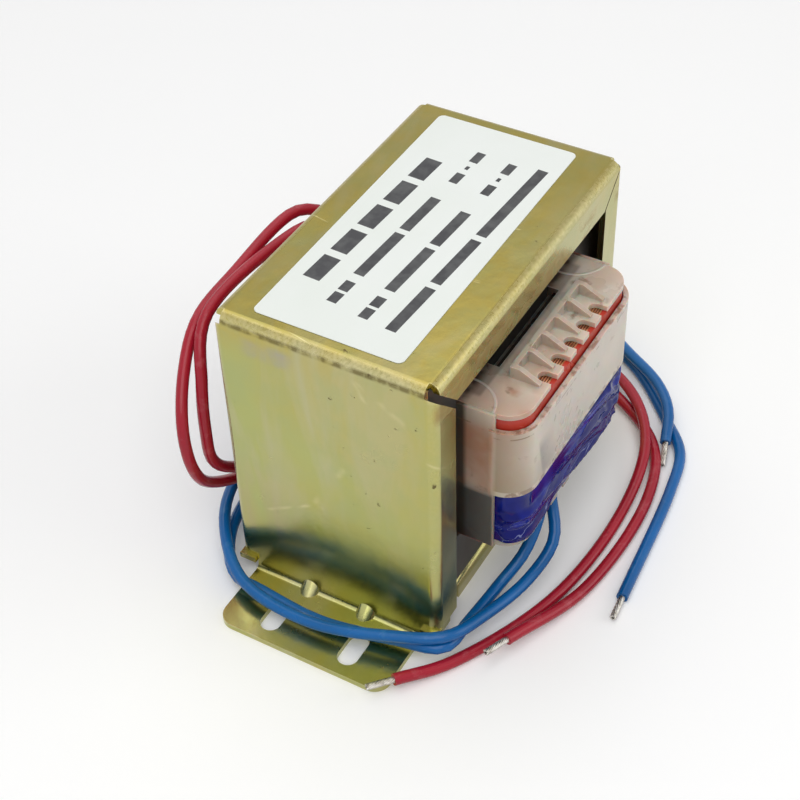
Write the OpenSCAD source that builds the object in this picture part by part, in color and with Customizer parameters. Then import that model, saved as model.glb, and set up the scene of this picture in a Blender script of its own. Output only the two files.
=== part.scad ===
// Chassis transformer: an EI core clamped by a pressed cover with feet,
// on a channel base plate, with a two-section bobbin and four flying leads.
// The underside of the feet is z = 0, the feet run along X, the coil shows at -Y and +Y.

/* [Core] */
// Width of the laminations, along the feet
core_w = 86; // [82:0.5:92]
// Height of the laminations
core_h = 71.7; // [68:0.1:76]
// Thickness of the lamination stack
stack_t = 45; // [40:0.5:46]
// Width of the middle leg
tongue_w = 28.7; // [24:0.1:30]
// Width of each winding window
window_w = 14.3; // [13.9:0.1:15.5]
// Thickness of one interleaved packet of sheets
packet_t = 2.5; // [1.5:0.5:5]

/* [Cover] */
// Thickness of the pressed sheet
sheet_t = 1.5; // [1:0.1:1.8]
// Width of the cover across its lips
cover_w = 52.8; // [50:0.2:56]
// Inner radius of the pressed bends
bend_r = 0.8; // [0.4:0.1:1.2]
// Running gap between the core and the cover
core_gap = 0.25; // [0.25:0.05:0.6]
// Depth of the lips on the top, measured from the top face
top_lip = 9.4; // [7:0.1:12]
// Depth of the lips on the end plates, measured from the end face
end_lip = 8.7; // [6:0.1:11]
// Width of the slits between the mitred lips at the +X end
mitre_slit = 0.5; // [0.3:0.1:1]
// Width of the slits at the -X end, where the lips stand further apart
mitre_open = 1.8; // [0.5:0.1:2.4]

/* [Feet] */
// Width of each foot and of its neck
foot_w = 44; // [38:0.5:46]
// Length of each foot beyond the end plate
foot_l = 18; // [16:0.5:24]
// Corner radius of each foot
foot_r = 4; // [2:0.5:6]
// Inner radius of the bend from end plate to foot
foot_bend_r = 1.2; // [0.8:0.1:2]
// Width of the mounting slots
slot_w = 5; // [4:0.1:6]
// Length of the mounting slots, end to end
slot_l = 9.6; // [7:0.1:11]
// Distance from the end plate to the middle of a slot
slot_out = 10.5; // [9:0.1:11]
// Distance between the two slots of one foot
slot_pitch = 20.6; // [16:0.1:26]
// Radius of the stiffening darts pressed into the foot bend
dart_r = 2.6; // [1.8:0.1:3.2]
// How far the darts stand out of the bend
dart_out = 1.5; // [0.8:0.1:1.9]
// Distance between the two darts of one foot
dart_pitch = 15; // [11:0.5:20]

/* [Base plate] */
// Height at which the core rests
rest_h = 5; // [4.4:0.1:7]
// Width of the base channel across its flanges
base_w = 46.8; // [46:0.2:48]
// Length of the base channel's flanges
base_flange_l = 59.2; // [40:0.4:70]
// How far the corner ears stand out of the end plates
ear_out = 0.9; // [0.5:0.1:1.6]
// How far the corner ears run in along the core
ear_in = 5.6; // [4:0.1:8]
// Depth of the ears' root in the web
ear_root = 3; // [2:0.5:6]

/* [Bobbin] */
// Height of the bobbin over its flanges
bobbin_h = 40; // [38:0.2:41]
// Gap between the bobbin's flanges and the ends of the winding windows
bobbin_gap = 1.5; // [1:0.1:3]
// Running gap between the middle leg and the bobbin's tube
tongue_gap = 0.2; // [0.1:0.05:0.4]
// Wall of the bobbin's tube
tube_wall = 1.2; // [0.8:0.1:1.6]
// Thickness of the flanges
flange_t = 1.3; // [1:0.1:1.8]
// Reach of the flanges from the middle of the stack
flange_y = 37.3; // [36.6:0.1:42]
// Corner radius of the flanges
flange_r = 6; // [3:0.5:8]
// Height of the secondary section between its flanges
lower_h = 16; // [12:0.2:20]
// Number of wire notches in each comb
notch_n = 5; // [3:1:5]
// Distance between neighbouring notches
notch_pitch = 6.3; // [5.8:0.1:6.6]
// Width of a notch
notch_w = 3.3; // [2.6:0.1:3.8]
// Depth of a notch from the flange's edge
notch_d = 3.8; // [2.5:0.1:4.2]
// Width of the trench between the core's face and the top flange
trench_w = 2.8; // [1.8:0.1:3.2]
// Distance from the core's face to the terminal block
block_gap = 6.1; // [5:0.1:7]
// Height of the terminal block above the flange
block_h = 3; // [1.5:0.1:4]
// Wall of the terminal block
block_wall = 1.2; // [1:0.1:1.8]
// Length of the level part of the block's ribs behind their slope
block_flat = 1; // [0.6:0.2:2]
// Slope of the block's ribs towards the flange's edge
block_slope = 26; // [15:1:32]

/* [Coil] */
// Wall of the coil covers' cheeks
cheek_t = 0.7; // [0.5:0.05:0.8]
// Wall of the coil covers' front shell
shell_t = 1.2; // [0.8:0.1:1.6]
// Height of the front shell
shell_h = 18.9; // [14:0.1:20]
// Distance of the shell's top edge below the bobbin's top
shell_drop = 4; // [3:0.1:6]
// Clearance between stacked coil parts
fit_gap = 0.15; // [0.1:0.05:0.25]
// Thickness of the wound tape
tape_t = 1; // [0.6:0.1:1.4]
// Distance that the cheeks reach past the core's face
cheek_reach = 8.9; // [6:0.1:10]
// Overlap of the front shell's arms on the cheeks
seam_lap = 1.2; // [0.6:0.1:2]

/* [Label] */
// Length of the label
label_l = 81; // [60:0.5:84]
// Width of the label
label_w = 35.5; // [20:0.5:46]
// Corner radius of the label
label_r = 1.5; // [1:0.5:5]
// Thickness of the label
label_t = 0.15; // [0.1:0.05:0.3]
// Offset of the label from the middle of the top
label_off = 1; // [-3:0.5:3]

/* [Leads] */
// Diameter over the lead's insulation
lead_d = 2.8; // [2.2:0.1:3]
// Diameter of the bare twisted end
strand_d = 1.6; // [1:0.1:2]
// Length of the bare twisted end
strand_l = 6.5; // [4:0.5:8]

/* [Hidden] */
$fn = 48;
eps = 0.01;
bend_out = bend_r + sheet_t;
end_x = core_w/2 + core_gap + sheet_t;
top_z = rest_h + core_h + core_gap + sheet_t;
limb_w = (core_w - tongue_w)/2 - window_w;
window_h = bobbin_h + 2*bobbin_gap;
yoke_h = (core_h - window_h)/2;
window_mid = rest_h + core_h/2;
window_x = tongue_w/2 + window_w;
packets = floor(stack_t/packet_t);
tube_x = tongue_w/2 + tongue_gap;
tube_y = stack_t/2 + tongue_gap;
bobbin_z0 = window_mid - bobbin_h/2;
bobbin_z1 = window_mid + bobbin_h/2;
lower_z1 = bobbin_z0 + flange_t + lower_h;
cheek_x = window_x - fit_gap;
flange_x = cheek_x - cheek_t - fit_gap;
shell_z1 = bobbin_z1 - shell_drop;
shell_x = flange_x + fit_gap + shell_t;
shell_y = flange_y + fit_gap + shell_t;
shell_r = flange_r + fit_gap + shell_t;
seam_y = stack_t/2 + cheek_reach;
wind_x = flange_x - tape_t - 2*fit_gap;
wind_y = flange_y - tape_t - 2*fit_gap;
wind_r = flange_r - tape_t - 2*fit_gap;
trench_y = stack_t/2 + trench_w;
block_y = stack_t/2 + block_gap;
block_x = (notch_n/2)*notch_pitch;
upper_z0 = lower_z1 + flange_t + fit_gap;
upper_z1 = bobbin_z1 - flange_t - fit_gap;
lower_z0 = bobbin_z0 + flange_t + fit_gap;
notch_y = flange_y - notch_d + notch_w/2;

// ---------- outlines ----------

// A quarter ring in the corner x > 0, y > 0, about the origin
module quarter_ring(inner, outer)
    intersection() {
        difference() {
            circle(outer);
            circle(inner);
        }
        square(outer + 1);
    }

// A rectangle with round corners, exact arcs
module round_rect(x, y, r) {
    square([x, y - 2*r], center = true);
    square([x - 2*r, y], center = true);
    for (sx = [-1, 1], sy = [-1, 1])
        translate([sx*(x/2 - r), sy*(y/2 - r)])
            circle(r);
}

// A slot along X with round ends
module slot_2d(l, w) {
    square([l - w, w], center = true);
    for (s = [-1, 1])
        translate([s*(l - w)/2, 0])
            circle(w/2);
}

// A strip with a bent lip on each side: the outer face at y = 0, the lips hanging down to -lip
module lipped_strip(w, lip) {
    translate([-w/2 + bend_out, -sheet_t])
        square([w - 2*bend_out, sheet_t]);
    for (s = [0, 1])
        mirror([s, 0])
            translate([w/2 - bend_out, -bend_out]) {
                quarter_ring(bend_r, bend_out);
                translate([bend_r, -(lip - bend_out)])
                    square([sheet_t, lip - bend_out]);
            }
}

// ---------- cover ----------

// The cover's own section seen from the side: top, end plates, necks and feet are one strip
module cover_side(neck_top) {
    foot_cx = end_x + foot_bend_r;
    for (s = [0, 1])
        mirror([s, 0]) {
            translate([end_x - sheet_t, sheet_t + foot_bend_r])
                square([sheet_t, neck_top - sheet_t - foot_bend_r]);
            translate([foot_cx, sheet_t + foot_bend_r])
                mirror([1, 0])
                    mirror([0, 1])
                        quarter_ring(foot_bend_r, foot_bend_r + sheet_t);
        }
}

module foot_plate()
    linear_extrude(sheet_t)
        difference() {
            union() {
                translate([end_x + foot_bend_r, -foot_w/2])
                    square([foot_l - foot_bend_r - foot_r, foot_w]);
                translate([end_x + foot_l - foot_r - eps, -foot_w/2 + foot_r])
                    square([foot_r + eps, foot_w - 2*foot_r]);
                for (s = [-1, 1])
                    translate([end_x + foot_l - foot_r, s*(foot_w/2 - foot_r)])
                        circle(foot_r);
            }
            for (s = [-1, 1])
                translate([end_x + slot_out, s*slot_pitch/2])
                    slot_2d(slot_l, slot_w);
        }

// Stiffening darts: half-round ribs pressed across the bend at 45 degrees
module darts() {
    reach = 2*(foot_bend_r + dart_out) + dart_r;
    for (s = [-1, 1])
        intersection() {
            translate([end_x, s*dart_pitch/2, sheet_t])
                rotate([0, -45, 0])
                    translate([dart_out + foot_bend_r*(sqrt(2) - 1) - dart_r, 0, 0])
                        cylinder(r = dart_r, h = 2*reach, center = true);
            translate([end_x - eps, s*dart_pitch/2 - dart_r, sheet_t - eps])
                cube([reach, 2*dart_r, reach]);
        }
}

module cover_frame() {
    top_l = 2*(end_x - bend_out);
    end_h = top_z - bend_out - rest_h;
    color([0.72, 0.66, 0.42])
        difference() {
            union() {
                // top with its two lips
                rotate([90, 0, 90])
                    translate([0, top_z, -top_l/2])
                        linear_extrude(top_l)
                            lipped_strip(cover_w, top_lip);
                // end plates with their lips
                for (s = [0, 1])
                    mirror([s, 0, 0])
                        translate([end_x, 0, rest_h])
                            rotate([0, 0, -90])
                                linear_extrude(end_h)
                                    lipped_strip(cover_w, end_lip);
                // bends between the top and the end plates
                for (s = [0, 1])
                    mirror([s, 0, 0])
                        translate([end_x - bend_out, cover_w/2 - bend_out, top_z - bend_out])
                            rotate([90, 0, 0])
                                linear_extrude(cover_w - 2*bend_out)
                                    quarter_ring(bend_r, bend_out);
                // necks and foot bends
                translate([0, foot_w/2, 0])
                    rotate([90, 0, 0])
                        linear_extrude(foot_w)
                            cover_side(rest_h + eps);
                for (s = [0, 1])
                    mirror([s, 0, 0]) {
                        foot_plate();
                        darts();
                    }
            }
            // mitre slits between the lips of the top and of the end plates
            for (sx = [0, 1], sy = [0, 1])
                mirror([sx, 0, 0])
                    mirror([0, sy, 0])
                        translate([end_x - bend_out + eps, cover_w/2 - sheet_t/2, top_z - bend_out + eps])
                            rotate([0, -45, 0]) {
                                gap = sx == 0 ? mitre_slit : mitre_open;
                                translate([-(top_lip + end_lip), -sheet_t, -gap])
                                    cube([top_lip + end_lip + bend_out, 2*sheet_t, gap]);
                            }
        }
}

// ---------- base plate ----------

module base_plate() {
    web_z = rest_h - sheet_t;
    flat_y = base_w/2 - bend_out;
    ear_y0 = foot_w/2 + fit_gap;
    ear_y1 = cover_w/2;
    color([0.68, 0.62, 0.40]) {
        // channel: web and two flanges that stand on the mounting surface
        rotate([90, 0, 90])
            translate([0, rest_h, -base_flange_l/2])
                linear_extrude(base_flange_l)
                    lipped_strip(base_w, rest_h);
        // the web runs on to the end plates
        translate([0, 0, web_z])
            linear_extrude(sheet_t) {
                square([2*(end_x - sheet_t - fit_gap), 2*flat_y], center = true);
                for (sx = [0, 1], sy = [0, 1])
                    mirror([sx, 0])
                        mirror([0, sy])
                            translate([end_x - ear_in, flat_y - ear_root])
                                square([ear_in - sheet_t - fit_gap, ear_y1 - flat_y + ear_root]);
                // corner ears under the end plates, one beside each side of each neck
                for (sx = [0, 1], sy = [0, 1])
                    mirror([sx, 0])
                        mirror([0, sy])
                            translate([end_x - ear_in, ear_y0])
                                square([ear_in + ear_out, ear_y1 - ear_y0]);
            }
    }
}

// ---------- core ----------

// One E sheet seen from the side, its yoke at the bottom
module e_2d()
    difference() {
        translate([-core_w/2, 0])
            square([core_w, core_h - yoke_h]);
        for (s = [-1, 1])
            translate([s*(tongue_w + window_w)/2 - window_w/2, yoke_h])
                square([window_w, core_h]);
    }

module i_2d()
    translate([-core_w/2, core_h - yoke_h])
        square([core_w, yoke_h]);

// Every second packet is turned over, so that the joints are covered
module packet_set(first, turned)
    translate([0, stack_t/2, rest_h])
        for (i = [first:2:packets - 1])
            translate([0, -i*stack_t/packets, 0])
                rotate([90, 0, 0])
                    linear_extrude(stack_t/packets)
                        translate([0, turned ? core_h : 0])
                            mirror([0, turned ? 1 : 0])
                                children();

module e_sheets_lower() color([0.34, 0.36, 0.39]) packet_set(0, false) e_2d();
module i_sheets_upper() color([0.34, 0.36, 0.39]) packet_set(0, false) i_2d();
module e_sheets_upper() color([0.30, 0.32, 0.35]) packet_set(1, true) e_2d();
module i_sheets_lower() color([0.30, 0.32, 0.35]) packet_set(1, true) i_2d();

// ---------- bobbin ----------

module flange_2d()
    round_rect(2*flange_x, 2*flange_y, flange_r);

module notches_2d(depth)
    for (i = [0:notch_n - 1], s = [-1, 1])
        translate([(i - (notch_n - 1)/2)*notch_pitch, s*flange_y])
            union() {
                square([notch_w, 2*(depth - notch_w/2)], center = true);
                translate([0, -s*(depth - notch_w/2)])
                    circle(notch_w/2);
            }

// Terminal block on the top flange of one side: a back wall and ribs round open pockets
module terminal_block() {
    rib_l = flange_y - notch_w/2 - block_y;
    difference() {
        translate([0, block_y, bobbin_z1 - eps])
            union() {
                translate([-block_x - block_wall/2, 0, 0])
                    cube([2*block_x + block_wall, block_wall, block_h + eps]);
                for (i = [0:notch_n])
                    translate([(i - notch_n/2)*notch_pitch - block_wall/2, 0, 0])
                        cube([block_wall, rib_l, block_h + eps]);
            }
        // the ribs fall away towards the flange's edge
        translate([-flange_x, block_y + block_wall + block_flat, bobbin_z1 + block_h])
            rotate([-block_slope, 0, 0])
                cube([2*flange_x, 3*rib_l, 2*block_h]);
    }
}

// Channel along the middle leg's side, cut down into the top flange
module trench()
    translate([-tube_x, tube_y, bobbin_z1 - 2*flange_t])
        cube([2*tube_x, trench_y - tube_y, 3*flange_t]);

module bobbin()
    color([0.90, 0.88, 0.84])
        union() {
            difference() {
                union() {
                    // tube
                    translate([0, 0, bobbin_z0])
                        linear_extrude(bobbin_h)
                            square([2*(tube_x + tube_wall), 2*(tube_y + tube_wall)], center = true);
                    // bottom flange and top flange with their combs, and the wall between the sections
                    for (z = [bobbin_z0, bobbin_z1 - flange_t])
                        translate([0, 0, z])
                            linear_extrude(flange_t)
                                difference() {
                                    flange_2d();
                                    notches_2d(notch_d);
                                }
                    translate([0, 0, lower_z1])
                        linear_extrude(flange_t)
                            flange_2d();
                }
                // bore for the middle leg
                translate([0, 0, bobbin_z0 - 1])
                    linear_extrude(bobbin_h + 2)
                        square([2*tube_x, 2*tube_y], center = true);
                for (s = [0, 1])
                    mirror([0, s, 0])
                        trench();
            }
            for (s = [0, 1])
                mirror([0, s, 0])
                    terminal_block();
        }

// ---------- coil ----------

// A winding or its tape: a ring between two outlines
module coil_ring(x, y, r, hole_x, hole_y, hole_r, z0, z1)
    translate([0, 0, z0])
        linear_extrude(z1 - z0)
            difference() {
                round_rect(2*x, 2*y, r);
                if (hole_r > 0) round_rect(2*hole_x, 2*hole_y, hole_r);
                else square([2*hole_x, 2*hole_y], center = true);
            }

module winding(z0, z1)
    coil_ring(wind_x, wind_y, wind_r, tube_x + tube_wall, tube_y + tube_wall, 0, z0, z1);

module tape(z0, z1)
    coil_ring(flange_x - fit_gap, flange_y - fit_gap, flange_r - fit_gap,
              wind_x + fit_gap, wind_y + fit_gap, wind_r + fit_gap, z0, z1);

module primary_winding() color([0.72, 0.42, 0.20]) winding(upper_z0, upper_z1);
module secondary_winding() color([0.72, 0.42, 0.20]) winding(lower_z0, lower_z1 - fit_gap);
module primary_tape() color([0.78, 0.10, 0.07]) tape(upper_z0, upper_z1);
module secondary_tape() color([0.05, 0.08, 0.60]) tape(lower_z0, lower_z1 - fit_gap);

// One coil cover: two cheeks that slide into the windows and a front shell over the upper section
module coil_cover(side)
    color([0.92, 0.89, 0.85])
        mirror([0, side > 0 ? 1 : 0, 0]) {
            for (s = [0, 1])
                mirror([s, 0, 0])
                    translate([cheek_x - cheek_t, -seam_y, bobbin_z0])
                        cube([cheek_t, seam_y - fit_gap, bobbin_h]);
            translate([0, 0, shell_z1 - shell_h])
                linear_extrude(shell_h)
                    intersection() {
                        difference() {
                            round_rect(2*shell_x, 2*shell_y, shell_r);
                            round_rect(2*(shell_x - shell_t), 2*(shell_y - shell_t), shell_r - shell_t);
                        }
                        translate([-shell_x, -shell_y])
                            square([2*shell_x, shell_y - seam_y + seam_lap]);
                    }
        }

module coil_cover_front() coil_cover(-1);
module coil_cover_rear() coil_cover(1);

// ---------- label ----------

module label()
    color([0.95, 0.95, 0.95])
        translate([0, label_off, top_z])
            linear_extrude(label_t)
                round_rect(label_l, label_w, label_r);

// ---------- leads ----------

// Routes from the comb to the stripped end; the leads wrap round the transformer
red_a_points = [
    [12.6, notch_y, upper_z1], [12.6, notch_y, 62.6], [8, 39.6, 64.6], [-14.6, 42.6, 60.9],
    [-30.5, 42.2, 58.7], [-40, 40.1, 50.9], [-47.1, 36.6, 41.4], [-47.5, 35, 30.2],
    [-40.8, 35.6, 19.8], [-15, 34.4, 6.4], [44, 33, 1.6], [54, 23, 3.1], [58, 8, 3.1],
    [58, -15.6, 3.1], [47.8, -32.4, 5.2], [33.7, -42.4, 4.6], [13.4, -45.9, 1.5],
    [-20.5, -43.3, 1.5], [-47.8, -31.6, 1.5], [-59.4, -23.2, 3.2]];
red_b_points = [
    [6.3, notch_y, upper_z1], [6.3, notch_y, 62.8], [0, 37.2, 63.2], [-30.4, 39.6, 60.6],
    [-39.4, 35.8, 49.1], [-41.8, 34.6, 37.9], [-40.8, 34.6, 27.6], [-34.4, 34, 19.9],
    [-10.5, 31, 6.6], [44, 29.4, 1.6], [49.4, 23.8, 3.1], [52.2, 8, 3.1], [52, -16, 3.1],
    [49.8, -23.8, 2.9], [37.4, -42.8, 1.5], [19.5, -49.6, 1.5], [-14.4, -48.6, 1.6],
    [-38.5, -40.4, 4.5]];
blue_a_points = [
    [-6.3, -notch_y, lower_z0], [-6.3, -notch_y, 18.4], [-12, -38.9, 11.1], [-21.9, -37.5, 6.6],
    [-36.4, -33.4, 6.4], [-47, -29.5, 8.3], [-51.3, -19.4, 7], [-55.6, 0.6, 5], [-53, 20.6, 5.6],
    [-43.2, 32, 8], [-31, 38, 8.4], [9, 42.6, 1.6], [41, 39.8, 1.6], [60, 29.6, 1.6],
    [67, 12, 1.6], [64.4, -22, 1.6], [44.8, -44.3, 1.5], [37, -50.6, 1.5],
    [23.6, -53.6, 1.5], [-12.9, -57.1, 1.5]];
blue_b_points = [
    [-12.6, -notch_y, lower_z0], [-12.6, -notch_y, 17.8], [-18, -34.4, 10.2], [-26, -32, 5.6],
    [-37.6, -30.4, 4.2], [-47.9, -29.4, 5.4], [-50.1, -18.4, 4], [-53, -0.8, 3.1],
    [-51.8, 16.8, 3.1], [-50.4, 24.8, 2.9], [-40.2, 32.4, 4.6], [13, 39, 1.6], [39, 37.2, 3.4],
    [61.6, 30.2, 5.6], [69.6, 8.4, 4.6], [68.4, -15.6, 3.6], [61.4, -26, 5.1],
    [53, -37.5, 6], [46.2, -43.2, 5.2], [37.3, -46.4, 2.8]];

function unit(v) = v/norm(v);

// Direction of the route at each point: the mean of its two neighbouring runs
function headings(p) = [for (i = [0:len(p) - 1])
    unit((i < len(p) - 1 ? unit(p[i + 1] - p[i]) : [0, 0, 0])
       + (i > 0 ? unit(p[i] - p[i - 1]) : [0, 0, 0]))];

// Side vectors carried along the route without twist
function side_vectors(h) = [for (i = 0, u = unit(cross(h[0], [0.3, 1, 0.2])); i < len(h);
    i = i + 1, u = i < len(h) ? unit(u - (u*h[i])*h[i]) : u) u];

function ring_points(c, h, u, r, n) =
    let (v = cross(h, u)) [for (k = [0:n - 1]) c + r*(cos(360*k/n)*u + sin(360*k/n)*v)];

module tube_along(p, d, n = 8) {
    h = headings(p);
    u = side_vectors(h);
    last = len(p) - 1;
    rings = [for (i = [0:last]) each ring_points(p[i], h[i], u[i], d/2, n)];
    walls = [for (i = [0:last - 1], k = [0:n - 1])
        each [[i*n + k, (i + 1)*n + k, i*n + (k + 1)%n],
              [(i + 1)*n + k, (i + 1)*n + (k + 1)%n, i*n + (k + 1)%n]]];
    polyhedron(rings, concat([[for (k = [0:n - 1]) k]], walls, [[for (k = [n - 1:-1:0]) last*n + k]]));
}

module lead(p) tube_along(p, lead_d);

// The bare strands go straight on from the end of the insulation
module bare_end(p) {
    tip = p[len(p) - 1];
    way = unit(tip - p[len(p) - 2]);
    tube_along([tip, tip + strand_l*way], strand_d);
}

module red_lead_a() color([0.80, 0.07, 0.14]) lead(red_a_points);
module red_lead_b() color([0.80, 0.07, 0.14]) lead(red_b_points);
module blue_lead_a() color([0.05, 0.33, 0.66]) lead(blue_a_points);
module blue_lead_b() color([0.05, 0.33, 0.66]) lead(blue_b_points);
module red_end_a() color([0.75, 0.75, 0.74]) bare_end(red_a_points);
module red_end_b() color([0.75, 0.75, 0.74]) bare_end(red_b_points);
module blue_end_a() color([0.75, 0.75, 0.74]) bare_end(blue_a_points);
module blue_end_b() color([0.75, 0.75, 0.74]) bare_end(blue_b_points);

cover_frame();
base_plate();
e_sheets_lower();
e_sheets_upper();
i_sheets_lower();
i_sheets_upper();
bobbin();
coil_cover_front();
coil_cover_rear();
primary_winding();
secondary_winding();
primary_tape();
secondary_tape();
label();
red_lead_a();
red_lead_b();
blue_lead_a();
blue_lead_b();
red_end_a();
red_end_b();
blue_end_a();
blue_end_b();
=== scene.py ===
import math

import bpy
from mathutils import Matrix, Vector, noise as fieldNoise


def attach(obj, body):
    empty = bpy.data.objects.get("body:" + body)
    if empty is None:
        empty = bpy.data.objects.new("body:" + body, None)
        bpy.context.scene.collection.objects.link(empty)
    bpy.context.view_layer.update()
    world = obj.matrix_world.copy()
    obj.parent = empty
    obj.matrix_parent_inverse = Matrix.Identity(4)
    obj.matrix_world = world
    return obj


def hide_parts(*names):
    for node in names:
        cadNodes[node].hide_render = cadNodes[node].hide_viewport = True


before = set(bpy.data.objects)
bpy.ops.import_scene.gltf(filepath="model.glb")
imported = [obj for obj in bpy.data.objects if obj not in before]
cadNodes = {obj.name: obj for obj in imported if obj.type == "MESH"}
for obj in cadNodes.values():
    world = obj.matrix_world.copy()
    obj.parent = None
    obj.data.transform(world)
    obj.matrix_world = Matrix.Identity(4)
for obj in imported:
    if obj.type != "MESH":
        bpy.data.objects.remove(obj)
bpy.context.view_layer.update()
mm = 0.001
print("frame loaded:", len(cadNodes), "nodes")


# shader helpers

def addNode(tree, kind, **values):
    made = tree.nodes.new("ShaderNode" + kind)
    for key, value in values.items():
        setattr(made, key, value)
    return made


def feed(tree, socket, source):
    # a number or colour is set on the socket, anything else is linked to it
    if isinstance(source, bpy.types.NodeSocket):
        tree.links.new(source, socket)
    else:
        socket.default_value = source


def maths(tree, operation, first, second=None, third=None, clamp=False):
    made = addNode(tree, "Math", operation=operation, use_clamp=clamp)
    for socket, source in zip(made.inputs, (first, second, third)):
        if source is not None:
            feed(tree, socket, source)
    return made.outputs[0]


def times(tree, first, second):
    return maths(tree, "MULTIPLY", first, second)


def splitAxes(tree, vector):
    made = addNode(tree, "SeparateXYZ")
    feed(tree, made.inputs[0], vector)
    return made.outputs


def lengthOf(tree, vector):
    made = addNode(tree, "VectorMath", operation="LENGTH")
    feed(tree, made.inputs[0], vector)
    return made.outputs["Value"]


def mixColour(tree, factor, first, second, blend="MIX"):
    made = addNode(tree, "Mix", data_type="RGBA", blend_type=blend)
    feed(tree, made.inputs["Factor"], factor)
    feed(tree, made.inputs["A"], first)
    feed(tree, made.inputs["B"], second)
    return made.outputs["Result"]


def tinge(tree, colour, tone, mask, amount):
    return mixColour(tree, times(tree, mask, amount), colour, tone)


def remap(tree, value, low, high, toLow=0.0, toHigh=1.0):
    made = addNode(tree, "MapRange", clamp=True)
    for key, source in (("Value", value), ("From Min", low), ("From Max", high),
                        ("To Min", toLow), ("To Max", toHigh)):
        feed(tree, made.inputs[key], source)
    return made.outputs["Result"]


def varyRoughness(tree, shader, tone, low, high):
    feed(tree, shader.inputs["Roughness"], remap(tree, tone, 0.3, 0.7, low, high))


def mottle(tree, tone, first, second):
    return mixColour(tree, remap(tree, tone, 0.35, 0.65), first, second)


def rampsFrom(tree, places):
    # masks that run between two named positions
    def ramp(value, place, *levels):
        return remap(tree, value, *places[place], *levels)
    return ramp


def band(tree, value, low, high, soft):
    # one inside the two values, falling off softly outside
    return times(tree, remap(tree, value, low - soft, low), remap(tree, value, high + soft, high))


def noise(tree, vector, scale, detail=3.0, roughness=0.5, distortion=0.0):
    made = addNode(tree, "TexNoise")
    feed(tree, made.inputs["Vector"], vector)
    feed(tree, made.inputs["Scale"], scale)
    made.inputs["Detail"].default_value = detail
    made.inputs["Roughness"].default_value = roughness
    made.inputs["Distortion"].default_value = distortion
    return made.outputs["Fac"]


def placed(tree, vector, scale=(1, 1, 1), rotation=(0, 0, 0), location=(0, 0, 0)):
    made = addNode(tree, "Mapping")
    feed(tree, made.inputs["Vector"], vector)
    made.inputs["Scale"].default_value = scale
    made.inputs["Rotation"].default_value = rotation
    made.inputs["Location"].default_value = location
    return made.outputs["Vector"]


def bump(tree, height, strength, distance, normal=None):
    made = addNode(tree, "Bump")
    feed(tree, made.inputs["Height"], height)
    made.inputs["Strength"].default_value = strength
    made.inputs["Distance"].default_value = distance
    if normal is not None:
        feed(tree, made.inputs["Normal"], normal)
    return made.outputs["Normal"]


def shaderGroup(name, inputs, outputs):
    group = bpy.data.node_groups.new(name, "ShaderNodeTree")
    for label, kind, value in inputs:
        socket = group.interface.new_socket(label, in_out="INPUT", socket_type="NodeSocket" + kind)
        if value is not None:
            socket.default_value = value
    for label, kind in outputs:
        group.interface.new_socket(label, in_out="OUTPUT", socket_type="NodeSocket" + kind)
    start = group.nodes.new("NodeGroupInput")
    end = group.nodes.new("NodeGroupOutput")
    return group, start.outputs, end.inputs


def useGroup(tree, group, **values):
    made = tree.nodes.new("ShaderNodeGroup")
    made.node_tree = group
    for key, value in values.items():
        feed(tree, made.inputs[key], value)
    return made.outputs


def newMaterial(name, **sockets):
    material = bpy.data.materials.new(name)
    material.use_nodes = True
    tree = material.node_tree
    shader = tree.nodes["Principled BSDF"]
    for key, value in sockets.items():
        shader.inputs[key.replace("_", " ")].default_value = value
    place = addNode(tree, "TexCoord").outputs["Object"]
    return material, tree, shader, place


# camera

cameraSetup = {
    "position": (-0.2457, -0.1404, 0.2944),
    "aim": (-0.02142, -0.00452, 0.04777),
    "roll": -2.14,  # degrees
    "lens": 73.69,
    "sensor": 36.0,
}


def makeCamera(setup):
    data = bpy.data.cameras.new("camera")
    data.lens = setup["lens"]
    data.sensor_width = setup["sensor"]
    data.clip_start = 0.01
    data.clip_end = 20
    camera = bpy.data.objects.new("camera", data)
    bpy.context.scene.collection.objects.link(camera)
    position = Vector(setup["position"])
    look = (Vector(setup["aim"]) - position).normalized()
    turn = look.to_track_quat("-Z", "Y").to_matrix()
    turn = turn @ Matrix.Rotation(math.radians(setup["roll"]), 3, "Z")
    camera.matrix_world = Matrix.Translation(position) @ turn.to_4x4()
    bpy.context.scene.camera = camera


makeCamera(cameraSetup)


# leads

leadSetup = {
    "diameter": 2.8,
    "step": 2.5,  # spacing of the curve's points
    "fineStep": 0.5,  # spacing along the spline before it is evened out
    "bevelSteps": 5,
}

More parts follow.
